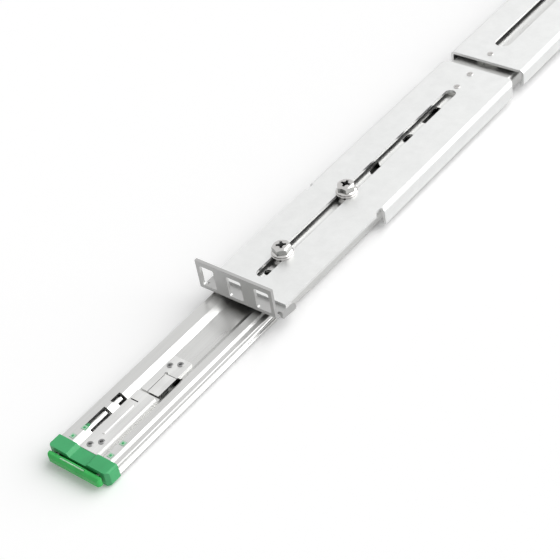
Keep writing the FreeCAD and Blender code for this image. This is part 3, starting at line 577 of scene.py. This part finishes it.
class RAIL_OT_latch(bpy.types.Operator):
    """Finish the lock plate, the latch plate and its leaf"""
    bl_idname = "rail.latch"
    bl_label = "Latch"

    def execute(self, context):
        steel = context.scene.rail_steel
        spring = drawn_steel("spring steel", steel.spring, steel.spring_roughness, steel.grain)
        for node, body in (("lock_plate", "middle_slide_body"),
                           ("latch_plate", "middle_slide_body"),
                           ("latch_leaf", "latch_leaf_body")):
            softened(node + "_spring", node, steel.drawn_edge, spring, body)
        return {"FINISHED"}


class RAIL_OT_screws(bpy.types.Operator):
    """Make the clamp screws and their washers, and finish the nuts"""
    bl_idname = "rail.screws"
    bl_label = "Clamp screws"

    SCREW_TURN = math.radians(55)
    WASHER_TURN = math.radians(300)
    SIDES = 48
    SHANK_R = 2.5 * MM
    COLLAR_R = 5.0 * MM
    COLLAR = 1.0 * MM
    FLATS_R = 4.7 * MM
    ARM_DEPTH = 2.2 * MM
    ARM_HALF = 0.65 * MM
    ARM_TAPER = 0.45
    OVER = 0.1 * MM
    WASHER_BORE = 2.65 * MM
    WASHER_RIM = 0.2 * MM
    WASHER_SIDES = 56

    def execute(self, context):
        sizes = context.scene.rail_fasteners
        chrome = polished_steel("bright chrome", sizes.chrome, sizes.chrome_roughness)
        screw_rows, washer_rows = [], []
        for end in ("front", "rear"):
            low, high = box_of(end + "_clamp_screws")
            washer_low, washer_high = box_of(end + "_washers")
            radius = (washer_high.x - washer_low.x) / 2
            middle = (low.x + high.x) / 2
            first = washer_low.y + radius
            step = Vector((0, washer_high.y - radius - first, 0))
            screw_rows.append((Vector((middle, first, washer_high.z)), step, 2))
            washer_rows.append((Vector((middle, first, washer_low.z)), step, 2))
        height = high.z - washer_high.z
        shank = washer_high.z - low.z
        screw = self.screw(sizes, height, shank, chrome)
        screws = repeated("clamp_screws", screw, screw_rows, chrome, self.SCREW_TURN, sizes.seed)
        self.shade_faces(screws, screw_rows, height, sizes)
        washer = self.washer(radius, washer_high.z - washer_low.z, chrome)
        washers = repeated("clamp_washers", washer, washer_rows, chrome, self.WASHER_TURN,
                           sizes.seed)
        for piece, nodes in ((screws, "clamp_screws"), (washers, "washers")):
            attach(piece, "root")
            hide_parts("front_" + nodes, "rear_" + nodes)
        for node in ("front_clinch_nuts", "rear_clinch_nuts"):
            finish_node(node, chrome)
        return {"FINISHED"}

    def screw(self, sizes, height, shank, material):
        """Hexagon head on a wide collar, domed on top, with a cross recess."""
        radius, collar = self.COLLAR_R, self.COLLAR
        across = sizes.hexagon / 2
        corner_r = across / math.cos(math.pi / 6)
        body = self.round("screw", [
            (0, -shank), (self.SHANK_R - 0.2 * MM, -shank), (self.SHANK_R, -shank + 0.3 * MM),
            (self.SHANK_R, -0.1 * MM), (radius - 0.2 * MM, 0), (radius, 0.2 * MM),
            (radius, collar - 0.35 * MM), (radius - 0.3 * MM, collar - 0.1 * MM),
            (across, collar + 0.15 * MM), (0, collar + 0.2 * MM)], self.SIDES, material)
        foot = collar - 0.1 * MM
        hexagon = self.round("hexagon", [(0, foot), (corner_r, foot), (corner_r, height),
                                         (0, height)], 6, material)
        dome = self.round("dome", [
            (0, 0), (corner_r, 0), (corner_r, height - 1.0 * MM), (across, height - 0.45 * MM),
            (across * 0.8, height - 0.12 * MM), (across * 0.55, height), (0, height)],
            self.SIDES, material)
        carve(hexagon, [dome], "INTERSECT")
        carve(body, [hexagon], "UNION")
        arms = []
        for turn in (0, 90):
            arm = self.recess_arm(sizes.cross / 2, height, material)
            arm.data.transform(Matrix.Rotation(math.radians(turn), 4, "Z"))
            arms.append(arm)
        over = height + self.OVER
        dish = self.round("dish", [(0, height - 2.0 * MM), (1.0 * MM, height - 1.0 * MM),
                                   (1.5 * MM, over), (0, over)], self.SIDES // 2, material)
        carve(body, arms + [dish])
        return body

    def round(self, name, profile, sides, material):
        """Piece turned from (radius, height) points."""
        return add_object(name, mesh_from(name, turned(profile, sides)), material)

    def shade_faces(self, screws, rows, height, sizes):
        """Painted shade: dark faces down in the cross recess, and darker flats round the hexagon.
        """
        for name, base, roughness in (("recess shade", sizes.recess, sizes.recess_roughness),
                                      ("hexagon flats", sizes.flats, sizes.flats_roughness)):
            screws.data.materials.append(polished_steel(name, base, roughness))
        centres = [first + step * number for first, step, count in rows
                   for number in range(count)]
        floor, brim = height - self.ARM_DEPTH - self.OVER, height - 0.12 * MM
        for face in screws.data.polygons:
            nearest = min(centres, key=lambda centre: (face.center - centre).xy.length)
            away = (face.center - nearest).xy.length
            level = face.center.z - nearest.z
            # Painted shade: faces down in the cross recess take the dark recess colour.
            if away < sizes.cross / 2 and floor < level < brim:
                face.material_index = 1
            # Painted shade: the hexagon's side flats take a darker colour than the rest of the
            # head.
            elif away < self.FLATS_R and abs(face.normal.z) < 0.3 and level > self.COLLAR:
                face.material_index = 2

    def recess_arm(self, reach, height, material):
        """Tapered blade of the cross recess."""
        over, floor, narrow = height + self.OVER, height - self.ARM_DEPTH, reach * self.ARM_TAPER
        outline = [(-reach, over), (reach, over), (narrow, floor), (-narrow, floor)]
        half = self.ARM_HALF
        return extruded("arm", outline, lambda a, b: Vector((a, -half, b)),
                        Vector((0, 2 * half, 0)), material)

    def washer(self, radius, sheet, material):
        """Flat washer with rounded rims."""
        rim, bore = self.WASHER_RIM, self.WASHER_BORE
        profile = [(bore, rim), (bore + rim, 0), (radius - rim, 0), (radius, rim),
                   (radius, sheet - rim), (radius - rim, sheet), (bore + rim, sheet),
                   (bore, sheet - rim), (bore, rim)]
        return self.round("washer", profile, self.WASHER_SIDES, material)


class RAIL_OT_rivets(bpy.types.Operator):
    """Make the rivets of the latch plates and of the glides"""
    bl_idname = "rail.rivets"
    bl_label = "Rivets"

    SIDES = 32
    PLATE_HEAD_R = 1.5 * MM
    PLATE_SHANK_R = 0.88 * MM
    PLATE_HEAD = 0.45 * MM
    GUIDE_SHANK_R = 0.95 * MM
    GUIDE_HEAD = 0.4 * MM

    def execute(self, context):
        sizes = context.scene.rail_fasteners
        self.plate_rivets(polished_steel("rivet steel", sizes.rivet, sizes.rivet_roughness))
        self.guide_rivets(polished_steel("guide rivet steel", sizes.chrome,
                                         sizes.guide_roughness))
        return {"FINISHED"}

    def finish(self, name, shape, profile, rows, material, body, nodes):
        """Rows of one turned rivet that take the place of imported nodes."""
        single = add_object(shape, mesh_from(shape, turned(profile, self.SIDES)), material)
        piece = repeated(name, single, rows, material)
        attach(piece, body)
        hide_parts(*nodes)

    def plate_rivets(self, material):
        """Dished rivets through the lock plate and the latch plate."""
        nodes = ("lock_plate_rivets", "latch_plate_rivets")
        radius, shank = self.PLATE_HEAD_R, self.PLATE_SHANK_R
        rows = []
        for node in nodes:
            low, high = box_of(node)
            start = Vector((low.x + radius, low.y + radius, low.z))
            end = Vector((high.x - radius, high.y - radius, low.z))
            rows.append((start, end - start, 2))
        height = high.z - low.z
        seat = height - self.PLATE_HEAD
        profile = [(0, 0), (shank, 0), (shank, seat), (radius, seat),
                   (radius, height - 0.2 * MM), (radius - 0.15 * MM, height - 0.03 * MM),
                   (radius - 0.35 * MM, height), (0.75 * MM, height - 0.08 * MM),
                   (0.6 * MM, height - 0.4 * MM), (0.45 * MM, height - 0.9 * MM),
                   (0, height - 1.0 * MM)]
        self.finish("plate_rivets", "rivet", profile, rows, material, "middle_slide_body", nodes)

    def guide_rivets(self, material):
        """Dimpled rivets that hold the glides in each channel."""
        for end in ("front", "rear"):
            node = end + "_guide_rivets"
            low, high = box_of(node)
            radius, shank = (high.x - low.x) / 2, self.GUIDE_SHANK_R
            height = high.z - low.z
            seat = height - self.GUIDE_HEAD
            start = Vector(((low.x + high.x) / 2, low.y + radius, low.z))
            step = Vector((0, high.y - radius - start.y, 0))
            profile = [(0, 0), (shank, 0), (shank, seat), (radius, seat),
                       (radius, height - 0.1 * MM), (radius - 0.25 * MM, height),
                       (0.8 * MM, height - 0.05 * MM), (0.5 * MM, height - 0.7 * MM),
                       (0, height - 0.8 * MM)]
            self.finish("dimpled_rivets_" + end, "guide", profile, [(start, step, 2)], material,
                        end + "_bracket", (node,))


class RAIL_OT_balls(bpy.types.Operator):
    """Make the balls in their strips"""
    bl_idname = "rail.balls"
    bl_label = "Balls"

    FINENESS = 3
    PLAY = 0.995

    def execute(self, context):
        sizes = context.scene.rail_fasteners
        bright = polished_steel("ball steel", sizes.ball, sizes.ball_roughness)
        for row in ("outer", "inner"):
            nodes = [row + "_balls_left", row + "_balls_right"]
            rows = []
            for node in nodes:
                low, high = box_of(node)
                radius = (high.x - low.x) / 2
                first = Vector(((low.x + high.x) / 2, low.y + radius, (low.z + high.z) / 2))
                step = (high.y - radius - first.y) / max(1, sizes.balls - 1)
                rows.append((first, Vector((0, step, 0)), sizes.balls))
            work = bmesh.new()
            bmesh.ops.create_icosphere(work, subdivisions=self.FINENESS,
                                       radius=radius * self.PLAY)
            ball = add_object("ball", mesh_from("ball", work), bright)
            piece = repeated(row + "_balls", ball, rows, bright)
            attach(piece, row + "_retainers")
            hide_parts(*nodes)
        return {"FINISHED"}


class RAIL_OT_end_cap(bpy.types.Operator):
    """Finish the green cap on the middle member"""
    bl_idname = "rail.end_cap"
    bl_label = "End cap"

    STUD_AREA = (1.0 * MM) ** 2
    TOP_LAYER = 1.0 * MM
    SHELF = 0.3 * MM
    PIP = [(0, 0), (0.62 * MM, 0), (0.58 * MM, 0.07 * MM), (0.40 * MM, 0.11 * MM),
           (0, 0.12 * MM)]
    PIP_SIDES = 20

    def execute(self, context):
        mouldings = context.scene.rail_mouldings
        green = moulded_plastic("green cap", mouldings.cap, mouldings.roughness)
        cap = softened("green_cap", "end_cap", mouldings.edge, green, "middle_slide_body",
                       3)
        self.studs(cap, mouldings)
        return {"FINISHED"}

    def studs(self, cap, mouldings):
        """Pale tops for the studs that fill the holes in the ledges, each with a pip."""
        pale = moulded_plastic("pale stud", mouldings.stud, mouldings.roughness)
        cap.data.materials.append(pale)
        behind = box_of("middle_member")[0].y + self.SHELF
        top = max(corner.co.z for corner in cap.data.vertices)
        tops = [face for face in cap.data.polygons
                if face.center.y > behind and face.center.z > top - self.TOP_LAYER
                and face.normal.z > 0.9]
        for face in tops:
            face.material_index = 1
        large = [face for face in tops if face.area > self.STUD_AREA]
        work = bmesh.new()
        for face in large:
            pip = turned(self.PIP, self.PIP_SIDES)
            bmesh.ops.translate(pip, verts=pip.verts, vec=face.center)
            spare = bpy.data.meshes.new("pip")
            pip.to_mesh(spare)
            pip.free()
            work.from_mesh(spare)
            bpy.data.meshes.remove(spare)
        pips = add_object("stud_pips", mesh_from("stud_pips", work), cap.data.materials[0])
        shade_by_angle(pips.data)
        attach(pips, "middle_slide_body")


class RAIL_OT_bumper(bpy.types.Operator):
    """Finish the green bar on the inner member"""
    bl_idname = "rail.bumper"
    bl_label = "Pull bar"

    GROOVE = 0.45 * MM
    BEAD_WALL = 0.35 * MM
    BEAD_EDGE = 0.12 * MM
    BEAD_CROWN = 0.45
    BEAD_STEPS = 8

    def execute(self, context):
        mouldings = context.scene.rail_mouldings
        bright = moulded_plastic("green bar", mouldings.bar, mouldings.roughness)
        softened("green_bar", "inner_bumper", mouldings.edge, bright, "inner_slide_body",
                 3)
        self.bead(mouldings)
        return {"FINISHED"}

    def bead(self, mouldings):
        """Bead that lies in the groove along the bar's top; its rounded crown catches real light,
        and its paler green is a painted highlight.
        """
        # Painted highlight: a paler green than the bar stands in partly for the highlight along
        # the bead.
        pale = moulded_plastic("pale bead", mouldings.bead, mouldings.roughness)
        low, high = box_of("inner_bumper")
        middle = (low.x + high.x) / 2
        start, end = middle - mouldings.bead_left, middle + mouldings.bead_right
        radius = mouldings.bead_width / 2
        along = low.y + mouldings.bead_inset
        base = high.z - self.GROOVE
        outline = [(-radius, 0)]
        for step in range(self.BEAD_STEPS + 1):
            turn = math.pi * (1 - step / self.BEAD_STEPS)
            crown = radius * self.BEAD_CROWN * math.sin(turn)
            outline.append((radius * math.cos(turn), self.BEAD_WALL + crown))
        outline.append((radius, 0))
        bead = extruded("bar_bead", outline, lambda a, b: Vector((start, along + a, base + b)),
                        Vector((end - start, 0, 0)), pale)
        beveled(bead, self.BEAD_EDGE)
        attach(bead, "inner_slide_body")


class RAIL_OT_stage(bpy.types.Operator):
    """Set the floor, the light and the camera"""
    bl_idname = "rail.stage"
    bl_label = "Stage"

    EYE = Vector((0.3826, -0.6167, 0.4676))
    AZIMUTH = 45.123
    ELEVATION = 40.788
    ROLL = 11.082
    KEY_PLACE = Vector((0.55, 0.69, 0.68))
    FLOOR_REACH = 3.0
    FLOOR_DROP = 0.2 * MM
    SENSOR = 36.0

    def execute(self, context):
        stage = context.scene.rail_stage
        context.scene.view_settings.view_transform = "Standard"
        self.world(context.scene, stage)
        self.floor(stage)
        self.lamp(stage)
        self.camera(context.scene, stage)
        return {"FINISHED"}

    def world(self, scene, stage):
        """White to the eye and in reflections, softer as a light."""
        world = bpy.data.worlds.new("Studio")
        scene.world = world
        world.use_nodes = True
        tree = world.node_tree
        plain = tree.nodes["Background"]
        plain.inputs["Color"].default_value = (1, 1, 1, 1)
        plain.inputs["Strength"].default_value = stage.ambient
        seen = tree.nodes.new("ShaderNodeBackground")
        seen.inputs["Color"].default_value = (1, 1, 1, 1)
        seen.inputs["Strength"].default_value = 1.0
        mix = tree.nodes.new("ShaderNodeMixShader")
        tree.links.new(self.seen_ray(tree), mix.inputs["Fac"])
        tree.links.new(plain.outputs["Background"], mix.inputs[1])
        tree.links.new(seen.outputs["Background"], mix.inputs[2])
        tree.links.new(mix.outputs["Shader"], tree.nodes["World Output"].inputs["Surface"])

    def seen_ray(self, tree):
        """One for rays that look: camera, mirror and glass rays."""
        path = tree.nodes.new("ShaderNodeLightPath")
        total = path.outputs["Is Camera Ray"]
        for name in ("Is Glossy Ray", "Is Transmission Ray"):
            most = tree.nodes.new("ShaderNodeMath")
            most.operation = "MAXIMUM"
            tree.links.new(total, most.inputs[0])
            tree.links.new(path.outputs[name], most.inputs[1])
            total = most.outputs["Value"]
        return total

    def floor(self, stage):
        """Pale floor just under the part; it adds a little light of its own."""
        work = bmesh.new()
        bmesh.ops.create_grid(work, x_segments=1, y_segments=1, size=self.FLOOR_REACH)
        mesh = bpy.data.meshes.new("floor")
        work.to_mesh(mesh)
        work.free()
        mesh.transform(Matrix.Translation((0, 0, CAD_BOX[0][2] - self.FLOOR_DROP)))
        look = Shader("pale floor")
        if look.fresh:
            tree = look.tree
            look.main.inputs["Base Color"].default_value = (*stage.floor, 1)
            look.main.inputs["Roughness"].default_value = 0.9
            look.main.inputs["Specular IOR Level"].default_value = 0.1
            glow = look.add("ShaderNodeEmission")
            strength = look.add("ShaderNodeMath", operation="MULTIPLY")
            strength.inputs[1].default_value = stage.lift
            look.link(self.seen_ray(tree), strength.inputs[0])
            look.link(strength.outputs["Value"], glow.inputs["Strength"])
            both = look.add("ShaderNodeAddShader")
            look.link(look.main.outputs["BSDF"], both.inputs[0])
            look.link(glow.outputs["Emission"], both.inputs[1])
            look.link(both.outputs["Shader"], tree.nodes["Material Output"].inputs["Surface"])
        floor = add_object("floor", mesh, look.material)

    def lamp(self, stage):
        """One wide, soft light from behind on the right."""
        lamp = bpy.data.lights.new("key", "SUN")
        lamp.angle = stage.key_spread
        lamp.energy = stage.key
        holder = bpy.data.objects.new("key", lamp)
        bpy.context.scene.collection.objects.link(holder)
        holder.location = self.KEY_PLACE
        holder.rotation_euler = (-self.KEY_PLACE).to_track_quat("-Z", "Y").to_euler()

    def camera(self, scene, stage):
        """Camera at EYE, turned, tipped down and rolled by the three angles."""
        azimuth, elevation, roll = map(math.radians, (self.AZIMUTH, self.ELEVATION, self.ROLL))
        forward = Vector((-math.sin(azimuth) * math.cos(elevation),
                          math.cos(azimuth) * math.cos(elevation), -math.sin(elevation)))
        right = Vector((math.cos(azimuth), math.sin(azimuth), 0))
        down = forward.cross(right)
        across = right * math.cos(roll) + down * math.sin(roll)
        below = down * math.cos(roll) - right * math.sin(roll)
        turn = Matrix((across, -below, -forward)).transposed().to_4x4()
        lens = bpy.data.cameras.new("camera")
        lens.sensor_width = self.SENSOR
        lens.lens = stage.focal
        lens.clip_start = 0.01
        camera = bpy.data.objects.new("camera", lens)
        scene.collection.objects.link(camera)
        camera.matrix_world = Matrix.Translation(self.EYE) @ turn
        scene.camera = camera


class RAIL_PT_sidebar(bpy.types.Panel):
    """Sizes, colours and pieces of the rail"""
    bl_idname = "RAIL_PT_sidebar"
    bl_label = "Rack Rail"
    bl_space_type = "VIEW_3D"
    bl_region_type = "UI"
    bl_category = "Rack Rail"

    def draw(self, context):
        layout = self.layout
        for group, heading in (("rail_steel", "Steel"), ("rail_mouldings", "Mouldings"),
                               ("rail_fasteners", "Fasteners"), ("rail_stage", "Stage")):
            panel = layout.box()
            panel.label(text=heading)
            values = getattr(context.scene, group)
            for key in values.__annotations__:
                panel.prop(values, key)
        column = layout.column(align=True)
        for step in OPERATORS:
            column.operator(step.bl_idname)


GROUPS = {"rail_steel": RailSteel, "rail_mouldings": RailMouldings,
          "rail_fasteners": RailFasteners, "rail_stage": RailStage}
OPERATORS = (RAIL_OT_brackets, RAIL_OT_slide, RAIL_OT_latch, RAIL_OT_screws, RAIL_OT_rivets,
             RAIL_OT_balls, RAIL_OT_end_cap, RAIL_OT_bumper, RAIL_OT_stage)


def register():
    for group in GROUPS.values():
        bpy.utils.register_class(group)
    for key, group in GROUPS.items():
        setattr(bpy.types.Scene, key, PointerProperty(type=group))
    for step in OPERATORS:
        bpy.utils.register_class(step)
    bpy.utils.register_class(RAIL_PT_sidebar)


def unregister():
    bpy.utils.unregister_class(RAIL_PT_sidebar)
    for step in reversed(OPERATORS):
        bpy.utils.unregister_class(step)
    for key, group in GROUPS.items():
        delattr(bpy.types.Scene, key)
        bpy.utils.unregister_class(group)


def main():
    register()
    for step in OPERATORS:
        family, name = step.bl_idname.split(".")
        getattr(getattr(bpy.ops, family), name)()


if __name__ == "__main__":
    main()
